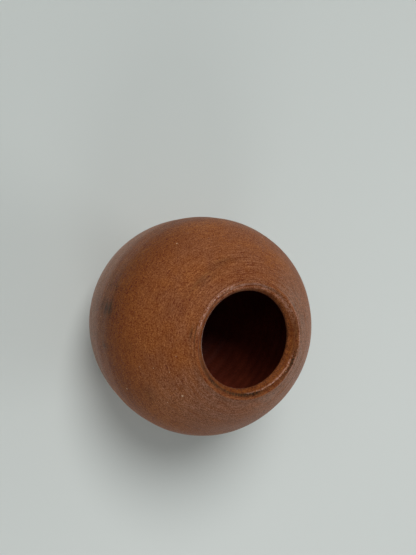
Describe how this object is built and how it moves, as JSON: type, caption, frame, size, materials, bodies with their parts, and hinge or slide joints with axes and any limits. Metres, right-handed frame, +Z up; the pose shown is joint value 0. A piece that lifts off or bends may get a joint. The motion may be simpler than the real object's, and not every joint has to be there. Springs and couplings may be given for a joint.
{
  "type": "bud vase",
  "caption": "Round unglazed stoneware bud vase with a narrow raised ring round its mouth, a low foot ring and a glazed lining.",
  "frame": {"origin": "centre of the face that the vase stands on, in the plane of the foot ring's underside", "axes": "+Z up along the vase's axis, out of its mouth; X and Y are any two directions across it"},
  "size_m": [0.08, 0.08, 0.0767],
  "materials": {
    "clay_body": "matt unglazed red-brown stoneware with fine dark pits",
    "clay_mouth_ring": "matt unglazed red-brown stoneware, smoothed",
    "clay_foot_ring": "matt unglazed red-brown stoneware, trimmed",
    "slip": "fired slip, matt, darker than the clay",
    "lining_glaze": "thin satin iron-brown lining glaze"
  },
  "bodies": {
    "root": {"vase_body": "clay_body", "mouth_ring": "clay_mouth_ring", "mouth_ring_slip": "slip", "foot_ring": "clay_foot_ring", "foot_ring_slip": "slip", "interior_glaze": "lining_glaze"}
  },
  "joints": []
}
